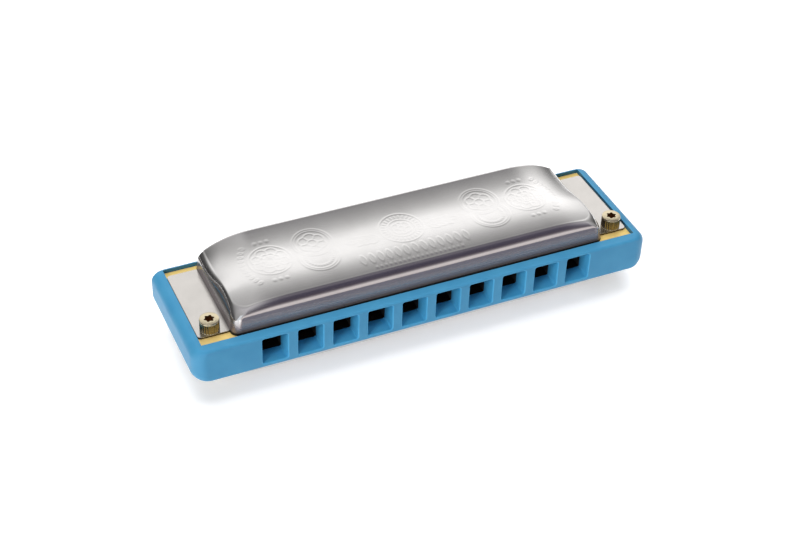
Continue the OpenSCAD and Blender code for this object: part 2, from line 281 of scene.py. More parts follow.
class Nodes(Tree):
    """The node tree of one material."""

    def __init__(self, name):
        self.material = bpy.data.materials.new(name)
        super().__init__(self.material)
        self.shader = self.tree.nodes["Principled BSDF"]
        self.coords = self.add("ShaderNodeTexCoord").outputs["Object"]

    def scaled(self, scale):
        """Object coordinates multiplied by a vector."""
        node = self.add("ShaderNodeMapping")
        node.inputs["Scale"].default_value = scale
        self.link(self.coords, node.inputs["Vector"])
        return node.outputs["Vector"]

    def noise(self, scale, detail=3.0, stretch=(1, 1, 1)):
        node = self.add("ShaderNodeTexNoise")
        node.inputs["Scale"].default_value = scale
        node.inputs["Detail"].default_value = detail
        self.link(self.scaled(stretch), node.inputs["Vector"])
        return node.outputs["Fac"]

    def remap(self, value, low, high, from_low=0.0, from_high=1.0):
        """Turns the range from_low to from_high into low to high."""
        node = self.add("ShaderNodeMapRange")
        node.inputs["From Min"].default_value = from_low
        node.inputs["From Max"].default_value = from_high
        node.inputs["To Min"].default_value = low
        node.inputs["To Max"].default_value = high
        self.link(value, node.inputs["Value"])
        return node.outputs["Result"]

    def near_middle(self, low, high):
        """1 closer than `low` mm to the comb's middle plane, 0 further off than `high` mm."""
        split = self.add("ShaderNodeSeparateXYZ")
        self.link(self.coords, split.inputs[0])
        offset = self.math("SUBTRACT", split.outputs["Z"], MID_Z * MM)
        return self.remap(self.math("ABSOLUTE", offset), 1.0, 0.0, low * MM, high * MM)

    def clouds(self, scale, low, high, detail=3.0):
        """A colour that wanders between two."""
        return self.ramp(self.noise(scale, detail), list(zip(SPREAD, (low, high))))

    def blend_by(self, factor, first, second):
        """The first colour where the factor is 0, the second, a plain colour, where it is 1."""
        node = self.add("ShaderNodeMix", data_type="RGBA")
        self.link(factor, node.inputs[0])
        self.link(first, node.inputs[6])
        node.inputs[7].default_value = (*second, 1)
        return node.outputs[2]

    def bump(self, height, strength):
        node = self.add("ShaderNodeBump")
        node.inputs["Strength"].default_value = strength
        node.inputs["Distance"].default_value = FINE_BUMP * MM
        self.link(height, node.inputs["Height"])
        self.link(node.outputs["Normal"], self.shader.inputs["Normal"])

    def paint(self, **sources):
        """Links outputs to the shader's sockets."""
        for key, source in sources.items():
            self.link(source, self.shader.inputs[key.replace("_", " ")])

    def set(self, **values):
        """Sets plain values on the shader's sockets."""
        for key, value in values.items():
            self.shader.inputs[key.replace("_", " ")].default_value = value


def anodised_blue(name, low, high):
    """Bead-blasted, blue anodised aluminium: satin, with a fine grain and slightly uneven dye."""
    n = Nodes(name)
    n.set(Metallic=0.15, Specular_IOR_Level=0.38)
    grain = n.noise(9000, 2.0)
    n.paint(Base_Color=n.clouds(220, low, high, 2.0), Roughness=n.remap(grain, 0.40, 0.52, *SPREAD))
    n.bump(grain, 0.25)
    return n.material


# Distances from the comb's middle plane between which painted shade darkens the covers' walls, low down and
# at their foot
LOW_WALL_DARK, LOW_WALL_BRIGHT = 4.8, 6.6
FOOT_DARK, FOOT_BRIGHT = 3.62, 3.95


def polished_steel():
    """Pressed steel with faint hairlines along its length. The walls are duller low down and carry painted
    shade there, and painted shade makes them nearly black at their foot, which stands in the shade of the
    comb's rim."""
    n = Nodes("polished_steel")
    hairlines = n.noise(900, 4.0, (0.06, 6, 6))
    # painted shade: the walls darken low down and go nearly black at their foot
    low_wall_shade = n.near_middle(LOW_WALL_DARK, LOW_WALL_BRIGHT)
    foot = n.near_middle(FOOT_DARK, FOOT_BRIGHT)
    colour = n.clouds(140, (0.70, 0.685, 0.675), (0.76, 0.745, 0.735))
    # the walls' colour gets its painted shade here, low down and at the foot
    colour = n.blend_by(low_wall_shade, colour, (0.29, 0.25, 0.258))
    n.paint(Base_Color=n.blend_by(foot, colour, (0.012, 0.016, 0.02)),
            Metallic=n.remap(low_wall_shade, 1.0, 0.7),
            Roughness=n.math("MULTIPLY_ADD", low_wall_shade, 0.14, n.remap(hairlines, 0.12, 0.19, *SPREAD)))
    n.bump(hairlines, 0.05)
    return n.material


PLATE_SKIN = 0.1                 # depth from a plate's face at which its painted shade starts or ends


def satin_brass(name, low, high, rough_low, rough_high, metallic=1.0, shaded_inside=False):
    """Rolled brass: a fine grain along the length and a few darker clouds. Where asked for, a piece gets
    painted shade, a near-black brown, where it faces the chambers, between the two reed plates."""
    n = Nodes(name)
    n.set(Metallic=metallic)
    colour = n.clouds(160, low, high)
    if shaded_inside:
        # painted shade on the faces towards the chambers
        between_plates = n.near_middle(PLATE_INNER + PLATE_SKIN, PLATE_OUTER - PLATE_SKIN)
        colour = n.blend_by(between_plates, colour, (0.012, 0.007, 0.004))
    grain = n.noise(1500, 3.0, (0.1, 4, 4))
    n.paint(Base_Color=colour, Roughness=n.remap(grain, rough_low, rough_high, *SPREAD))
    n.bump(grain, 0.08)
    return n.material


# Distances from the comb's middle plane between which painted shade darkens the flanges' edges
EDGE_DARK, EDGE_BRIGHT = FLANGE_TOP - 0.14, FLANGE_TOP - 0.05


def dull_steel():
    """The unpolished, rolled surface of the covers' flanges, with painted shade on their edges."""
    n = Nodes("dull_steel")
    n.set(Metallic=1.0)
    grain = n.noise(1800, 3.0, (4, 0.3, 4))
    colour = n.clouds(200, (0.60, 0.575, 0.545), (0.65, 0.62, 0.59))
    # painted shade on the flanges' edges
    edge = n.near_middle(EDGE_DARK, EDGE_BRIGHT)
    n.paint(Base_Color=n.blend_by(edge, colour, (0.05, 0.038, 0.028)),
            Roughness=n.remap(grain, 0.18, 0.25, *SPREAD))
    n.bump(grain, 0.1)
    return n.material


def painted_chamber_shade():
    """The inside of the comb behind the mouthpiece, near-black with painted shade."""
    n = Nodes("painted_chamber_shade")
    n.paint(Base_Color=n.clouds(600, (0.008, 0.005, 0.004), (0.02, 0.012, 0.008)))
    n.set(Roughness=0.8)
    return n.material


blue = anodised_blue("anodised_blue", (0.044, 0.236, 0.420), (0.054, 0.264, 0.450))
# a lighter copy of the comb's blue: painted light inside the mouth holes
lit_mouth_blue = anodised_blue("lit_mouth_blue", (0.054, 0.305, 0.535), (0.066, 0.340, 0.575))
# a darker copy of the comb's blue: painted shade on the recesses' walls
shaded_recess_blue = anodised_blue("shaded_recess_blue", (0.032, 0.160, 0.280), (0.040, 0.185, 0.315))
# near-black painted shade for the chambers
dark_chamber_shade = painted_chamber_shade()
steel = polished_steel()
flange_steel = dull_steel()
plate_brass = satin_brass("plate_brass", (0.84, 0.60, 0.19), (0.90, 0.67, 0.25), 0.45, 0.6, 0.35,
                          shaded_inside=True)
# a darker brown copy of the brass: painted shade in the screws' sockets
shaded_socket_brass = satin_brass("shaded_socket_brass", (0.36, 0.20, 0.08), (0.46, 0.26, 0.11), 0.4, 0.5)
inner_brass = satin_brass("inner_brass", (0.74, 0.56, 0.28), (0.82, 0.64, 0.34), 0.3, 0.4, shaded_inside=True)
reed_brass = satin_brass("reed_brass", (0.80, 0.58, 0.25), (0.88, 0.68, 0.34), 0.22, 0.36)
# a darker copy of the brass: painted shade on the heads' knurled sides
shaded_knurl_brass = satin_brass("shaded_knurl_brass", (0.25, 0.215, 0.14), (0.34, 0.295, 0.20), 0.22, 0.3)
screw_brass = satin_brass("screw_brass", (0.68, 0.59, 0.40), (0.78, 0.69, 0.49), 0.24, 0.34, 0.95)

# ------------------------------------------------------------------ comb

FRONT_CORNER_R = 2.9             # radii of the upright corners half way up
BACK_CORNER_R = 0.8
FRONT_CORNER_LOSS = 0.4          # change of those radii per mm that the ends' rounding draws them in
BACK_CORNER_GROWTH = 0.6
EDGE_R = 0.6                     # rounding of the long edges, and of the short ones
END_R = 2.2
HOLE_HALF = 2.64                 # half the width of a mouth hole behind its rounded lip
LIP_R = 0.3
MOUTH_CORNER_R = 0.4
MOUTH_CLEAR = 0.6                # how far the mouth cutters start in front of the comb
ROOF_RATE = 1.7                  # how fast the funnel's roof and floor reach the plates
FLOOR_RATE = 1.2
FLUSH = 0.01                     # how far the funnel's end stays clear of the plates
CHAMBER_HALF = 2.3
MOUTH_TOP = HALF_HEIGHT - 0.68
MOUTH_BOTTOM = -HALF_HEIGHT + 1.12
CHAMBER_LENGTH = 22
CHAMBER_STEP = 0.6
COVER_SCREW = (44.9, 6.7)
COVER_SCREW_HOLE_R = 1.15
PLATE_SCREWS = [(-15, 5.6), (15, 5.6), (-30, 23.6), (0, 23.6), (30, 23.6)]
PLATE_SCREW_HOLE_R = 0.85
CLEAR = 1                        # how far the recess cutters reach past the comb
OVERLAP = 0.02                   # how far each chamber reaches into its funnel
CHAMBER_CLEAR = 0.3              # how far the chamber cutters reach past the plates' inner faces


def hole_x(i):
    """The middle of a hole, which are counted from 0 at the left end."""
    return (i - (HOLES - 1) / 2) * PITCH


def fillet_inset(t, r):
    """How far a round edge of radius r stands in at the depth t below the face it meets."""
    return r - math.sqrt(max(r * r - (r - t) ** 2, 0)) if t < r else 0.0


def comb_ring(z):
    """The comb's outline at the height z: a rectangle with round corners, drawn in by the round edges."""
    from_edge = HALF_HEIGHT - abs(z)
    x_in = fillet_inset(from_edge, END_R)
    y_in = fillet_inset(from_edge, EDGE_R)
    half = LENGTH / 2 - x_in
    ring = []
    for corner, sx in enumerate([-1, 1, 1, -1]):
        if corner < 2:
            r = FRONT_CORNER_R - FRONT_CORNER_LOSS * x_in
            cy = y_in + r
        else:
            r = BACK_CORNER_R + BACK_CORNER_GROWTH * x_in
            cy = DEPTH - y_in - r
        for a in round_corner(corner, 12):
            ring.append((sx * (half - r) + r * math.cos(a), cy + r * math.sin(a), z))
    return ring


def comb_heights():
    """The heights of the comb's rings, closer together where its edges are round."""
    rise = [END_R * (1 - math.cos(math.radians(a))) for a in range(0, 91, 9)]
    rise += [EDGE_R * (1 - math.cos(math.radians(a))) for a in range(15, 91, 15)]
    low = sorted(set(round(r, 4) for r in rise))
    return [-HALF_HEIGHT + r for r in low] + [HALF_HEIGHT - r for r in reversed(low)]


def mouth_ring(y, grow, inward):
    """A mouth hole's section at the depth y, wider by grow all round; inward is 0 at the face and 1 at the
    chamber."""
    half = mix(HOLE_HALF, CHAMBER_HALF, inward) + grow
    top = mix(MOUTH_TOP, PLATE_INNER - FLUSH, smooth_step(inward * ROOF_RATE)) + grow
    bottom = mix(MOUTH_BOTTOM, -PLATE_INNER + FLUSH, smooth_step(inward * FLOOR_RATE)) - grow
    r = MOUTH_CORNER_R + grow
    ring = []
    for corner, (sx, z) in enumerate([(-1, bottom + r), (1, bottom + r), (1, top - r), (-1, top - r)]):
        for a in round_corner(corner, 6):
            ring.append((sx * (half - r) + r * math.cos(a), y, z + r * math.sin(a)))
    return ring


def mouth_cutters():
    """The air ways of the ten holes: a rounded lip and a funnel that ends at the chamber's section."""
    rings = [mouth_ring(-MOUTH_CLEAR, LIP_R, 0)]
    for i in range(1, 8):
        a = math.radians(90 * i / 7)
        rings.append(mouth_ring(LIP_R * (1 - math.cos(a)), LIP_R * (1 - math.sin(a)), 0))
    funnel = DRAW_PLATE_Y - LIP_R
    rings += [mouth_ring(LIP_R + funnel * t, 0, t) for t in (0.15, 0.3, 0.45, 0.6, 0.8, 1.0)]
    mouths = Shape()
    for i in range(HOLES):
        mouths.loft([np.array(section) + [hole_x(i), 0, 0] for section in rings])
    return mouths


def recess_cutters():
    """The recesses for the two plates; the lower one steps back to where the draw plate starts."""
    recess = Shape()
    end = HALF_HEIGHT + CLEAR
    recess.box((-RECESS_HALF, FRONT_LEDGE, PLATE_INNER), (RECESS_HALF, RECESS_BACK, end))
    section = [(FRONT_LEDGE, -end), (FRONT_LEDGE, -PLATE_OUTER), (DRAW_PLATE_Y, -PLATE_OUTER),
               (DRAW_PLATE_Y, -PLATE_INNER), (RECESS_BACK, -PLATE_INNER), (RECESS_BACK, -end)]
    recess.loft([[(x, y, z) for y, z in section] for x in (-RECESS_HALF, RECESS_HALF)])
    return recess


def chamber_cutters():
    """The ten chambers, which get shorter to the right."""
    chambers = Shape()
    top = PLATE_INNER + CHAMBER_CLEAR
    for i in range(HOLES):
        end = DRAW_PLATE_Y + CHAMBER_LENGTH - i * CHAMBER_STEP
        chambers.box((hole_x(i) - CHAMBER_HALF, DRAW_PLATE_Y - OVERLAP, -top),
                     (hole_x(i) + CHAMBER_HALF, end, top))
    return chambers


def screw_cutters():
    """The holes for the cover screws and the plate screws."""
    holes = Shape()
    for x in (-COVER_SCREW[0], COVER_SCREW[0]):
        holes.rod(x, COVER_SCREW[1], COVER_SCREW_HOLE_R, 32)
    for x, y in PLATE_SCREWS:
        holes.rod(x, y, PLATE_SCREW_HOLE_R, 24)
    return holes


def build_comb():
    """The comb with its recesses, mouth holes, chambers and screw holes."""
    blank = Shape()
    blank.loft([comb_ring(z) for z in comb_heights()])
    comb = new_piece("comb_body", blank.points, blank.faces, blue, SHARP)
    # the recesses get painted shade, the mouth holes painted light and the chambers near-black painted shade
    for cutter, material in ((recess_cutters(), shaded_recess_blue), (mouth_cutters(), lit_mouth_blue),
                             (chamber_cutters(), dark_chamber_shade), (screw_cutters(), blue)):
        cut(comb, cutter.points, cutter.faces, material)
    shade(comb.data, SHARP)
    weight_normals(comb)
    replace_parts(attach(comb, BODY), "comb")


# ------------------------------------------------------------------ covers

COVER_HALF = 41.4                # half the length of the raised part at its foot
SKIRT_Y = 2.95
CREST_Y = RECESS_BACK - 1.45     # the section's crest, dish, plateau and front edge, and their heights
DISH_Y = 17.5
PLATEAU_Y = 11.9
CREST_TOP = 10.15
DISH_TOP = 9.25
PLATEAU_TOP = 9.4
FRONT_EDGE_TOP = 8.85
REAR_POWER = 1.8                 # how hollow the rise from the dish to the crest is
HEM_R = 0.7                      # the rolled hem's radius, and how many degrees it turns
HEM_TURN = 150
WALL_LOW = FLANGE_TOP - 0.4      # the walls' foot
SHOULDER_Z = 6.85                # the shoulder's start, how far in it ends, and the skirt's lean below it
SHOULDER_IN = 2.35
FRONT_LEAN = 0.62
SHOULDER_POWER = 1.15
END_WALL_Z = 5.7                 # the same for the walls at the two ends
END_IN = 1.8
END_LEAN = 0.35
END_POWER = 1.3
CORNER_LOW = 1.9                 # radius of the front corners in plan, at their foot and at the top
CORNER_HIGH = 3.0
FALL_START = 28                  # where the top starts to fall away towards an end
FALL_FRONT = 0.9                 # how much it falls there at the front and at the back
FALL_BACK = 2.55
FALL_POWER = 2.6
FALL_FROM = 10                   # the depth at which the fall starts to grow, and over how much depth
FALL_OVER = 16
# The sheet's grid: quads across the top and along it, levels of the wall, rows of the hem, and half the
# quads round a front corner
COLS = 480
ROWS = 120
LEVELS = 13
HEM_ROWS = 10
ARC = 8
AROUND = 2 * ROWS + COLS


def middle_z(y):
    """Outer height along a cover's middle: a low plateau, a shallow dish and a rise to the rear crest."""
    rise = np.clip((y - DISH_Y) / (CREST_Y - DISH_Y), 0, 2) ** REAR_POWER
    back = mix(DISH_TOP, CREST_TOP, rise)
    wave = (1 - np.cos(np.pi * (y - PLATEAU_Y) / (DISH_Y - PLATEAU_Y))) / 2
    drop = ((PLATEAU_Y - y) / (PLATEAU_Y - SKIRT_Y - SHOULDER_IN)) ** 2
    front = PLATEAU_TOP - (PLATEAU_TOP - FRONT_EDGE_TOP) * drop
    return np.where(y > DISH_Y, back, np.where(y > PLATEAU_Y, mix(PLATEAU_TOP, DISH_TOP, wave), front))


def top_z(x, y):
    """Outer height of a cover's top, which falls away towards both ends, most of all at the back."""
    s = np.clip((np.abs(x) - FALL_START) / (COVER_HALF - END_IN - FALL_START), 0, 1)
    fall = mix(FALL_FRONT, FALL_BACK, smooth_step((y - FALL_FROM) / FALL_OVER))
    return middle_z(y) - fall * s ** FALL_POWER


def level_angle(k):
    """The turn of the shoulder at one level: 0 for the two that bound the wall, 90 degrees for the last."""
    return 0.0 if k < 2 else math.radians(90 * (k - 1) / (LEVELS - 1))


def loop_xy(k, e):
    """Plan points of the loop round one level, from the left end's back to the right end's back."""
    a = level_angle(k)
    front_in = e if k == 0 else mix(SHOULDER_IN, FRONT_LEAN + e, math.cos(a) ** SHOULDER_POWER)
    end_in = e if k == 0 else mix(END_IN, END_LEAN + e, math.cos(a) ** END_POWER)
    r = mix(CORNER_LOW - e, CORNER_HIGH, math.sin(a))
    cx, cy = COVER_HALF - end_in - r, SKIRT_Y + front_in + r
    straight = ROWS - ARC
    half = [(-cx - r, mix(CREST_Y, cy, s / straight)) for s in range(straight + 1)]
    half += [(-cx + r * math.cos(t), cy + r * math.sin(t))
             for t in (math.radians(180 + 45 * i / ARC) for i in range(1, 2 * ARC + 1))]
    steps = COLS // 2 - ARC
    half += [(mix(-cx, 0, s / steps), cy - r) for s in range(1, steps + 1)]
    mirrored = [(-x, y) for x, y in reversed(half[:-1])]
    return np.array(half + mirrored)


def cover_grid(e, emboss):
    """Wall, top and hem points of one face of the sheet; e is its depth below the outer face."""
    crease = loop_xy(LEVELS, e)
    crease_top = top_z(crease[:, 0], crease[:, 1]) - e
    s = np.arange(AROUND + 1)
    turned = np.clip((np.minimum(s, AROUND - s) - ROWS + ARC) / (2 * ARC), 0, 1)
    on_front = np.sin(np.pi / 2 * turned) ** 2
    walls = []
    for k in range(LEVELS + 1):
        xy = loop_xy(k, e)
        start = mix(END_WALL_Z, SHOULDER_Z, on_front)
        lift = math.sin(level_angle(k)) ** mix(END_POWER, SHOULDER_POWER, on_front)
        z = start + (crease_top - start) * lift if k else np.full(AROUND + 1, WALL_LOW)
        walls.append(np.c_[xy, z])
    plan = top_plan(crease)
    z = top_z(plan[..., 0], plan[..., 1]) - e + emboss(plan[..., 0], plan[..., 1])
    top = np.concatenate([plan, z[..., None]], axis=2)
    back = plan[-1]
    hem = []
    for m in range(1, HEM_ROWS + 1):
        a = math.radians(90 - HEM_TURN * m / HEM_ROWS)
        r = HEM_R - e
        y = np.full(COLS + 1, CREST_Y + r * math.cos(a))
        hem.append(np.c_[back[:, 0], y, top_z(back[:, 0], CREST_Y) - HEM_R + r * math.sin(a)])
    return np.concatenate([np.concatenate(walls), top[1:, 1:-1].reshape(-1, 3), np.concatenate(hem)])


def top_plan(crease):
    """Plan points of the top, blended between its front, its ends and its back."""
    u = np.linspace(0, 1, COLS + 1)[None, :, None]
    v = np.linspace(0, 1, ROWS + 1)[:, None, None]
    front = crease[ROWS:ROWS + COLS + 1][None]
    left = crease[ROWS::-1][:, None]
    right = left * np.array([-1, 1])
    c01 = crease[0]
    c11 = c01 * np.array([-1, 1])
    back = c01 + (c11 - c01) * u
    c00, c10 = crease[ROWS], crease[ROWS + COLS]
    return ((1 - v) * front + v * back + (1 - u) * left + u * right
            - (1 - v) * ((1 - u) * c00 + u * c10) - v * ((1 - u) * c01 + u * c11))


def cover_quads():
    """The quads of one face of the sheet and its free edge, as indices into cover_grid()'s points."""
    wall = np.arange((LEVELS + 1) * (AROUND + 1)).reshape(LEVELS + 1, AROUND + 1)
    top = np.zeros((ROWS + 1, COLS + 1), int)
    top[1:, 1:-1] = wall.size + np.arange(ROWS * (COLS - 1)).reshape(ROWS, COLS - 1)
    top[0] = wall[-1, ROWS:ROWS + COLS + 1]
    top[:, 0] = wall[-1, ROWS::-1]
    top[:, -1] = wall[-1, ROWS + COLS:]
    hem = np.zeros((HEM_ROWS + 1, COLS + 1), int)
    hem[0] = top[-1]
    first = wall.size + ROWS * (COLS - 1)
    hem[1:] = first + np.arange(HEM_ROWS * (COLS + 1)).reshape(HEM_ROWS, COLS + 1)
    quads = [np.stack([g[:-1, :-1], g[1:, :-1], g[1:, 1:], g[:-1, 1:]], axis=-1).reshape(-1, 4)
             for g in (wall, top, hem)]
    edge = np.concatenate([wall[0], wall[1:, -1], hem[1:, -1], hem[-1, -2::-1], hem[-2:0:-1, 0],
                           wall[:0:-1, 0]])
    return np.concatenate(quads), edge


# The pressed ornament: every figure is raised lines and small bosses, alike on both halves of a cover
LINE_WIDTH = 0.17
LINE_HEIGHT = 0.023
LINE_FADE = 0.3                  # the length over which a line ends
BOSS_HEIGHT = 0.022
PETAL_DEPTH = 0.16               # a flower's scallops, the lines between its petals and its middle ring,
PETAL_LINES = (0.36, 0.86)       # all as shares of its radius
EYE_R = 0.34
LEAF_FADE = 0.08                 # the share of a leaf's length over which its lines end
SEAL = (0, 15.8)                 # the middles of the round figures
MEDALLION = (18.9, 18.0)
MEDALLION_BEHIND = (19.2, 13.2)
MEDALLION_R = 4.2
MEDALLION_RIM = 0.5
FLOWER = (28.8, 15.8)
ARC_CENTRE = (23.5, 15.6)        # the arc of small leaves, and the degrees between them
ARC_R = 10.45
ARC_STEP = 6.2
LANCET_Y = 8.9                   # the row of lancets, and the row of beads
LANCET_LENGTH = 3.2
LANCET_PITCH = 1.9
LANCETS = 7
BEADS_Y = 6.2
BEADS = 10
SPRAY_AT = (5.6, 14.6)           # where the seal's spray starts, its slope and its leaves
SPRAY_ANGLE = 4
LEAF_LENGTH = 2.6
LEAF_PITCH = 1.5
LEAF_TURN = 38


def line(distance, height=LINE_HEIGHT):
    """The height of a raised line at a distance from its middle."""
    return height * np.exp(-(distance / LINE_WIDTH) ** 2)


def ring(x, y, centre, r):
    """A raised circle."""
    return line(np.hypot(x - centre[0], y - centre[1]) - r)


def boss(x, y, centre, r):
    """A small round bump with a flat top."""
    return BOSS_HEIGHT * np.exp(-(((x - centre[0]) ** 2 + (y - centre[1]) ** 2) / r ** 2) ** 2)


def rays(x, y, centre, count, inner, outer):
    """Straight lines that point away from a centre, between two radii."""
    d = np.hypot(x - centre[0], y - centre[1])
    a = np.arctan2(y - centre[1], x - centre[0])
    off = d * np.abs(np.sin(count * a / 2)) * 2 / count
    return line(off) * smooth_step((d - inner) / LINE_FADE) * smooth_step((outer - d) / LINE_FADE)


def flower(x, y, centre, r, petals):
    """A scalloped outline with a line between its petals, round a small ring."""
    d = np.hypot(x - centre[0], y - centre[1])
    a = np.arctan2(y - centre[1], x - centre[0])
    outline = r * (1 - PETAL_DEPTH + PETAL_DEPTH * np.abs(np.sin(petals * a / 2)))
    between = rays(x, y, centre, petals, PETAL_LINES[0] * r, PETAL_LINES[1] * r)
    return np.max([line(d - outline), between, ring(x, y, centre, EYE_R * r)], axis=0)


def leaf(x, y, base, angle, length, width):
    """The outline and the middle vein of a pointed leaf."""
    c, s = math.cos(math.radians(angle)), math.sin(math.radians(angle))
    u = ((x - base[0]) * c + (y - base[1]) * s) / length
    v = (y - base[1]) * c - (x - base[0]) * s
    half = width / 2 * np.sin(np.pi * np.clip(u, 0, 1))
    inside = smooth_step(u / LEAF_FADE + 0.5) * smooth_step((1 - u) / LEAF_FADE + 0.5)
    return np.maximum(line(np.abs(v) - half), line(v, LINE_HEIGHT / 2)) * inside


def spray(x, y, base, angle, pairs):
    """A stem with pairs of leaves and one more at its tip."""
    figure = np.zeros_like(x)
    c, s = math.cos(math.radians(angle)), math.sin(math.radians(angle))
    for i in range(pairs):
        at = (base[0] + c * LEAF_PITCH * i, base[1] + s * LEAF_PITCH * i)
        for turn in (LEAF_TURN, -LEAF_TURN):
            figure = np.maximum(figure, leaf(x, y, at, angle + turn, LEAF_LENGTH, 1.0))
    tip = (base[0] + c * LEAF_PITCH * pairs, base[1] + s * LEAF_PITCH * pairs)
    return np.maximum(figure, leaf(x, y, tip, angle, LEAF_LENGTH, 1.1))


def medallions(x, y):
    """Two round medals, one partly behind the other."""
    behind, front = [[ring(x, y, centre, r) for r in (MEDALLION_R, MEDALLION_R - MEDALLION_RIM)]
                     for centre in (MEDALLION_BEHIND, MEDALLION)]
    behind.append(rays(x, y, MEDALLION_BEHIND, 28, 2.3, 3.2))
    front.append(flower(x, y, MEDALLION, 2.9, 6))
    clear = smooth_step((np.hypot(x - MEDALLION[0], y - MEDALLION[1]) - MEDALLION_R) / LINE_FADE)
    return np.maximum(np.max(behind, axis=0) * clear, np.max(front, axis=0))


def end_flower(x, y):
    """A large flower in a ring, with three bosses above it, three below and an arc of leaves outside."""
    parts = [flower(x, y, FLOWER, 3.9, 8), ring(x, y, FLOWER, 4.5), flower(x, y, FLOWER, 2.3, 8)]
    for step in (-1, 0, 1):
        for rise in (-6.2, 5.9):
            parts.append(boss(x, y, (FLOWER[0] + 1.3 * step, FLOWER[1] + rise), 0.45))
    for i in range(-5, 6):
        a = math.radians(ARC_STEP * i)
        at = (ARC_CENTRE[0] + ARC_R * math.cos(a), ARC_CENTRE[1] + ARC_R * math.sin(a))
        parts.append(leaf(x, y, at, ARC_STEP * i, 1.3, 0.6))
    return np.max(parts, axis=0)


def seal(x, y):
    """The middle figure: a rayed seal with a spray of leaves on each side."""
    parts = [ring(x, y, SEAL, 2.9), rays(x, y, SEAL, 28, 3.2, 4.4), ring(x, y, SEAL, 4.7),
             flower(x, y, SEAL, 2.1, 5), spray(x, y, SPRAY_AT, SPRAY_ANGLE, 3)]
    return np.max(parts, axis=0)


def front_rows(x, y):
    """A row of lancets and, under it, a row of beads."""
    foot = LANCET_Y - LANCET_LENGTH / 2
    parts = [leaf(x, y, (LANCET_PITCH * i, foot), 90, LANCET_LENGTH, 1.1) for i in range(LANCETS)]
    parts += [boss(x, y, (0.5 + i, BEADS_Y), 0.32) for i in range(BEADS)]
    return np.max(parts, axis=0)


def ornament(x, y):
    """The height of the whole ornament, the same to the left and to the right of the middle."""
    half = np.abs(x)
    return np.max([figure(half, y) for figure in (medallions, end_flower, seal, front_rows)], axis=0)


FLANGE_OUT = 47.85               # the flanges' outer ends, front and back
FLANGE_FRONT = 4.9
FLANGE_BACK = 25.5
FLANGE_CORNER_R = 0.8
FLANGE_HOLE_R = 1.1
FLANGE_BEVEL = 0.08
CONTACT = 0.005                  # the gap that keeps a flange's lower face off the plate's


def rounded_box(shape, low, high, r, steps=6):
    """A block with its four upright edges rounded."""
    outline = []
    for corner, (sx, sy) in enumerate([(0, 0), (1, 0), (1, 1), (0, 1)]):
        cx = high[0] - r if sx else low[0] + r
        cy = high[1] - r if sy else low[1] + r
        outline += [(cx + r * math.cos(a), cy + r * math.sin(a)) for a in round_corner(corner, steps)]
    shape.loft([[(x, y, z) for x, y in outline] for z in (low[2], high[2])])


def build_flange(name, side, up):
    """The flat strip at a cover's end, with the hole for the cover screw."""
    blank = Shape()
    xs = sorted([side * (COVER_HALF - SHEET_T), side * FLANGE_OUT])
    rounded_box(blank, (xs[0], FLANGE_FRONT, PLATE_OUTER + CONTACT), (xs[1], FLANGE_BACK, FLANGE_TOP),
                FLANGE_CORNER_R)
    flange = new_piece(name, np.array(blank.points) * [1, 1, up], blank.faces, flange_steel)
    hole = Shape()
    hole.rod(side * COVER_SCREW[0], COVER_SCREW[1], FLANGE_HOLE_R, 40)
    cut(flange, hole.points, hole.faces, flange_steel)
    soften(flange, FLANGE_BEVEL)
    weight_normals(flange)
    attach(flange, BODY)


def build_cover(name, up):
    """One pressed cover, its sheet and its two flanges; up is -1 for the one turned over."""
    outer = cover_grid(0, ornament)
    inner = cover_grid(SHEET_T, ornament)
    quads, edge = cover_quads()
    count = len(outer)
    rim = [(a, b, b + count, a + count) for a, b in zip(edge, np.roll(edge, -1))]
    faces = np.concatenate([quads, quads[:, ::-1] + count]).tolist() + rim
    sheet = new_piece(name, np.concatenate([outer, inner]) * [1, 1, up], faces, steel, SHEET_SHARP)
    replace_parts(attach(sheet, BODY), name.replace("_sheet", ""))
    for side, label in ((-1, "left"), (1, "right")):
        build_flange(f"{name}_flange_{label}", side, up)


# ------------------------------------------------------------------ screws and reeds

KNURLS = 24
KNURL_DEPTH = 0.14
HEAD_CHAMFER = 0.22
RUN_OUT = 0.08                   # the height over which the knurling starts above the flange
SOCKET_R = 1.08
SOCKET_LOBE = 0.13               # depth of the socket's waves, as a share of its radius
SOCKET_DEPTH = 1.3
SOCKET_CLEAR = 1                 # how far the socket's cutter reaches past the head
SHAFT_R = 1.0
SHAFT_GAP = 0.05                 # how far a shaft ends short of the comb's middle plane
UPRIGHT = 0.2                    # a face whose normal rises by less than this stands upright
AROUND_HEAD = 8 * KNURLS


def head_ring(r, z, knurl):
    """One level of a round head; knurl is 1 where its side is knurled."""
    outline = []
    for i in range(AROUND_HEAD):
        a = 2 * math.pi * i / AROUND_HEAD
        dent = knurl * KNURL_DEPTH * (0.5 + 0.5 * math.cos(KNURLS * a))
        outline.append(((r - dent) * math.cos(a), (r - dent) * math.sin(a), z))
    return outline


def socket_ring(z):
    """One level of the six-lobed socket."""
    outline = []
    for i in range(96):
        a = 2 * math.pi * i / 96
        r = SOCKET_R * (1 - SOCKET_LOBE + SOCKET_LOBE * math.cos(6 * a))
        outline.append((r * math.cos(a), r * math.sin(a), z))
    return outline


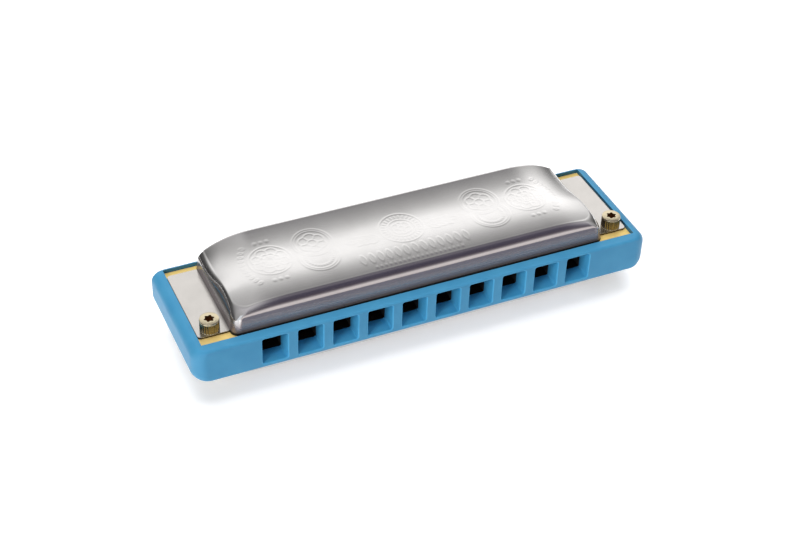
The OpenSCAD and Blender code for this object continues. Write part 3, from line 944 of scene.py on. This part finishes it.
def build_fastener(node, side, up):
    """A cover screw or its nut: a knurled round head with a six-lobed socket, on a plain shaft."""
    low, high = mm_box(node)
    r = (high[0] - low[0]) / 2
    height = (high[2] - MID_Z if up > 0 else MID_Z - low[2]) - FLANGE_TOP
    c = HEAD_CHAMFER
    levels = [(SHAFT_R, -FLANGE_TOP + SHAFT_GAP, 0), (SHAFT_R, 0, 0), (r - c, 0, 0), (r, 0.8 * c, 0),
              (r, 0.8 * c + RUN_OUT, 1), (r, height - 2 * c, 1), (r, height - 1.6 * c, 0),
              (r - 0.05, height - c, 0), (r - 0.3 * c, height - 0.3 * c, 0), (r - c, height, 0),
              (0.4 * r, height, 0)]
    at = np.array([side * COVER_SCREW[0], COVER_SCREW[1], FLANGE_TOP])
    blank = Shape()
    blank.loft([np.array(head_ring(*level)) + at for level in levels])
    points = np.array(blank.points) * [1, 1, up]
    piece = new_piece(node + "_detail", points, blank.faces, screw_brass, SHARP)
    piece.data.materials.append(shaded_knurl_brass)
    # the upright faces, the head's knurled sides among them, get the darker brass as painted shade
    for face in piece.data.polygons:
        if abs(face.normal.z) < UPRIGHT:
            face.material_index = 1
    socket = Shape()
    socket.loft([np.array(socket_ring(z)) + at for z in (height - SOCKET_DEPTH, height + SOCKET_CLEAR)])
    # the socket's faces get the darker brown brass as painted shade
    cut(piece, np.array(socket.points) * [1, 1, up], socket.faces, shaded_socket_brass)
    shade(piece.data, SHARP)
    weight_normals(piece)
    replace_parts(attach(piece, BODY), node)


ROOT_OVERLAP = 0.45              # how far a reed's strip reaches into its foot
ROOT_THICKNESS = 0.9             # of the strip's own thickness, inside its foot
THINNING = 0.3                   # the share of its thickness that is filed away half way along
EASE = 0.35                      # the long edges' chamfer, as a share of half the thickness
REED_STEPS = 24


def reed_section(x, y, z, half_width, half_thick):
    """A strip's section, with its long edges eased."""
    e = half_thick * EASE
    corners = [(-half_width, -half_thick + e), (-half_width + e, -half_thick), (half_width - e, -half_thick),
               (half_width, -half_thick + e), (half_width, half_thick - e), (half_width - e, half_thick),
               (-half_width + e, half_thick), (-half_width, half_thick - e)]
    return [(x + dx, y, z + dz) for dx, dz in corners]


def build_reed(kind, i):
    """One springy tongue: fixed in its foot at the root, thinned in the middle, free at the tip."""
    node = f"{kind}_reed_{i}"
    low, high = mm_box(node)
    low, high = low - [0, FRONT_Y, MID_Z], high - [0, FRONT_Y, MID_Z]
    x, z = (low[0] + high[0]) / 2, (low[2] + high[2]) / 2
    half_width, half_thick = (high[0] - low[0]) / 2, (high[2] - low[2]) / 2
    toward = -1 if kind == "blow" else 1
    root, tip = (high[1], low[1]) if kind == "blow" else (low[1], high[1])
    root += toward * half_thick
    sections = [reed_section(x, root - toward * ROOT_OVERLAP, z, half_width,
                             half_thick * ROOT_THICKNESS)]
    for step in range(REED_STEPS + 1):
        t = step / REED_STEPS
        thick = half_thick * (1 - THINNING * math.sin(math.pi * t) ** 2)
        sections.append(reed_section(x, mix(root, tip, t), z, half_width, thick))
    shape = Shape()
    shape.loft(sections)
    strip = new_piece(node + "_strip", shape.points, shape.faces, reed_brass, SHARP)
    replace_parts(strip, node)
    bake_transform(strip)


# ------------------------------------------------------------------ CAD nodes kept as they are


def finish_kept_nodes():
    """Gives the nodes that have no detailed mesh their materials."""
    kept = {"blow_reed_plate": plate_brass, "draw_reed_plate": plate_brass,
            "reed_plate_screws": screw_brass, "blow_reed_feet": inner_brass, "draw_reed_feet": inner_brass,
            "blow_reed_rivets": inner_brass, "draw_reed_rivets": inner_brass}
    for node, material in kept.items():
        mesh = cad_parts[node].data
        mesh.materials.clear()
        mesh.materials.append(material)


# ------------------------------------------------------------------ camera, floor and light

# The camera stands where a solve on the comb's edges and holes puts it: metres, degrees and millimetres
CAMERA_AT = (-0.11353, -0.24140, 0.22561)
CAMERA_AZIMUTH = -25.01
CAMERA_ELEVATION = 38.866
CAMERA_ROLL = 1.981
CAMERA_LENS = 73.71
SENSOR_WIDTH = 36
NEAR_CLIP = 0.01


def add_camera():
    """The view from the front left that the scene is rendered from."""
    camera = bpy.data.objects.new("camera", bpy.data.cameras.new("camera"))
    bpy.context.scene.collection.objects.link(camera)
    camera.data.sensor_width = SENSOR_WIDTH
    camera.data.lens = CAMERA_LENS
    camera.data.clip_start = NEAR_CLIP
    azimuth, elevation = math.radians(CAMERA_AZIMUTH), math.radians(CAMERA_ELEVATION)
    back = Vector((math.sin(azimuth) * math.cos(elevation), -math.cos(azimuth) * math.cos(elevation),
                   math.sin(elevation)))
    right = Vector((0, 0, 1)).cross(back).normalized()
    up = back.cross(right)
    aim = Matrix((right, up, back)).transposed().to_4x4()
    roll = Matrix.Rotation(math.radians(CAMERA_ROLL), 4, "Z")
    camera.matrix_world = Matrix.Translation(CAMERA_AT) @ (aim @ roll)
    bpy.context.scene.camera = camera


def grey(v):
    return (v, v, v)


FLOOR_HALF = 3
FLOOR_DROP = 0.0001              # the floor lies this far below z = 0, and the cards this far above it
FLOOR_GLOW = 0.25
# Low and high corners and the colours of grey cards on the floor, which only mirrors see
CARDS = {"front_card": ((-0.052, -0.0575), (FLOOR_HALF, -0.022), (0.17, 0.168, 0.215)),
         "far_front_card": ((-0.052, -FLOOR_HALF), (FLOOR_HALF, -0.0575), (0.72, 0.66, 0.665)),
         "left_card": ((-0.6, -0.02), (-0.075, 0.5), (0.10, 0.09, 0.085))}
# A bright upright panel to the front left, which only mirrors see
PANEL_NEAR = (-0.45, -0.12)
PANEL_FAR = (-0.22, -0.38)
PANEL_HEIGHT = 0.6
PANEL_COLOUR = (0.85, 0.9, 0.95)


def add_plane(name, corners):
    """A stage piece with one face."""
    mesh = bpy.data.meshes.new(name)
    mesh.from_pydata(corners, [], [(0, 1, 2, 3)])
    plane = bpy.data.objects.new(name, mesh)
    bpy.context.scene.collection.objects.link(plane)
    return plane


def upright(near, far, height):
    """The corners of an upright rectangle that stands on the floor between two points."""
    return [(*near, 0), (*far, 0), (*far, height), (*near, height)]


def glowing(name, colour, glow, strength, roughness):
    """A plain material that gives off some light of its own."""
    n = Nodes(name)
    n.set(Base_Color=(*colour, 1), Emission_Color=(*glow, 1), Emission_Strength=strength,
          Roughness=roughness)
    return n.material


def add_card(name, corners, colour):
    """A piece of the studio that shows in mirrors only."""
    card = add_plane(name, corners)
    card.data.materials.append(glowing(name, grey(0), colour, 1, 1))
    for ray in ("camera", "diffuse", "transmission", "shadow", "volume_scatter"):
        setattr(card, f"visible_{ray}", False)


def add_floor():
    """A pale floor that also glows a little, so that shadows on it stay light, and the cards."""
    floor = add_plane("floor", lying((-FLOOR_HALF, -FLOOR_HALF), (FLOOR_HALF, FLOOR_HALF), -FLOOR_DROP))
    floor.data.materials.append(glowing("floor", grey(0.9), grey(1), FLOOR_GLOW, 0.9))
    for name, (low, high, colour) in CARDS.items():
        add_card(name, lying(low, high, FLOOR_DROP), colour)
    add_card("panel", upright(PANEL_NEAR, PANEL_FAR, PANEL_HEIGHT), PANEL_COLOUR)


# Brightness of the studio round the object's long axis: 0 is the horizon behind it, 90 overhead and
# 180 the horizon in front of it
STUDIO = [(0, grey(0.5)), (14, grey(0.8)), (27, grey(1.3)), (36, grey(1.3)), (41, grey(1.22)),
          (43.2, grey(1.16)), (45.2, grey(1.03)), (46.9, grey(0.94)), (49.3, grey(0.75)),
          (51, grey(0.645)), (53, grey(0.547)), (55, grey(0.479)), (57, grey(0.403)),
          (59.5, grey(0.346)), (64, (0.19, 0.18, 0.205)), (69, (0.15, 0.14, 0.17)),
          (85, (0.17, 0.156, 0.19)), (100, (0.159, 0.145, 0.18)), (112, (0.093, 0.083, 0.12)),
          (123, (0.074, 0.063, 0.096)), (142, (0.074, 0.063, 0.09)), (151, (0.10, 0.085, 0.11)),
          (160, (0.246, 0.215, 0.235)), (166, (0.50, 0.46, 0.47)), (172, (0.74, 0.68, 0.69)),
          (180, (0.85, 0.79, 0.80))]
# How much of that is left across the object: -1 is straight to the left, 1 straight to the right
ACROSS = [(-1, 0.07), (-0.55, 0.08), (-0.42, 0.26), (-0.25, 0.65), (-0.05, 0.84), (0.15, 0.96),
          (0.3, 1), (0.38, 1), (0.54, 1.15), (0.68, 0.7), (0.8, 0.25), (0.9, 0.1)]
# A soft fill from above and from the front, except straight in line with the camera
FILL_ROUND = [(45, 0), (75, 1), (150, 0.8), (180, 0.5)]
FILL_ACROSS = [(-1, 0.35), (-0.5, 0.5), (0.1, 0.5), (0.18, 0), (0.48, 0), (0.62, 0.45), (1, 0.35)]


class Sky(Tree):
    """The node tree of the studio's walls and ceiling."""

    def __init__(self, world):
        super().__init__(world)
        coords = self.add("ShaderNodeTexCoord")
        split = self.add("ShaderNodeSeparateXYZ")
        self.link(coords.outputs["Generated"], split.inputs[0])
        turn = self.math("ARCTAN2", split.outputs["Z"], split.outputs["Y"])
        self.round = self.math("DIVIDE", turn, math.pi)
        self.across = self.math("MULTIPLY_ADD", split.outputs["X"], 0.5, 0.5)

    def round_ramp(self, stops):
        return self.ramp(self.round, [(angle / 180, colour) for angle, colour in stops])

    def across_ramp(self, stops):
        return self.ramp(self.across, [((x + 1) / 2, grey(v)) for x, v in stops])


def add_world():
    """The studio round the object, which lights it and shows in its mirrors."""
    bpy.context.scene.world = bpy.data.worlds.new("studio")
    sky = Sky(bpy.context.scene.world)
    bands = sky.combine("MULTIPLY", sky.round_ramp(STUDIO), sky.across_ramp(ACROSS))
    fill_round = sky.round_ramp([(angle, grey(v)) for angle, v in FILL_ROUND])
    fill = sky.combine("MULTIPLY", fill_round, sky.across_ramp(FILL_ACROSS))
    sky.link(sky.combine("ADD", bands, fill), sky.tree.nodes["Background"].inputs["Color"])


# The place, the size and the power of each lamp
LAMPS = {"overhead": ((0.1, 0.2, 1.6), 1.6, 22), "key": ((-1.2, -0.65, 0.75), 0.7, 13)}


def add_lamp(name, at, size, power):
    """A soft light that aims at the object and isn't mirrored in it."""
    light = bpy.data.lights.new(name, "AREA")
    light.shape = "DISK"
    light.size = size
    light.energy = power
    lamp = bpy.data.objects.new(name, light)
    bpy.context.scene.collection.objects.link(lamp)
    lamp.location = at
    lamp.rotation_euler = (-Vector(at)).to_track_quat("-Z", "Y").to_euler()
    lamp.visible_glossy = False


scene = bpy.context.scene
scene.view_settings.view_transform = "Standard"
for other in [o for o in scene.objects if o.type in ("LIGHT", "CAMERA")]:
    bpy.data.objects.remove(other)

add_camera()
add_floor()
add_world()
for lamp_name, settings in LAMPS.items():
    add_lamp(lamp_name, *settings)
build_comb()
build_cover("top_cover_sheet", 1)
build_cover("bottom_cover_sheet", -1)
for side_name, side in (("left", -1), ("right", 1)):
    build_fastener("cover_screw_" + side_name, side, 1)
    build_fastener("cover_nut_" + side_name, side, -1)
for kind in ("blow", "draw"):
    for number in range(1, HOLES + 1):
        build_reed(kind, number)
finish_kept_nodes()
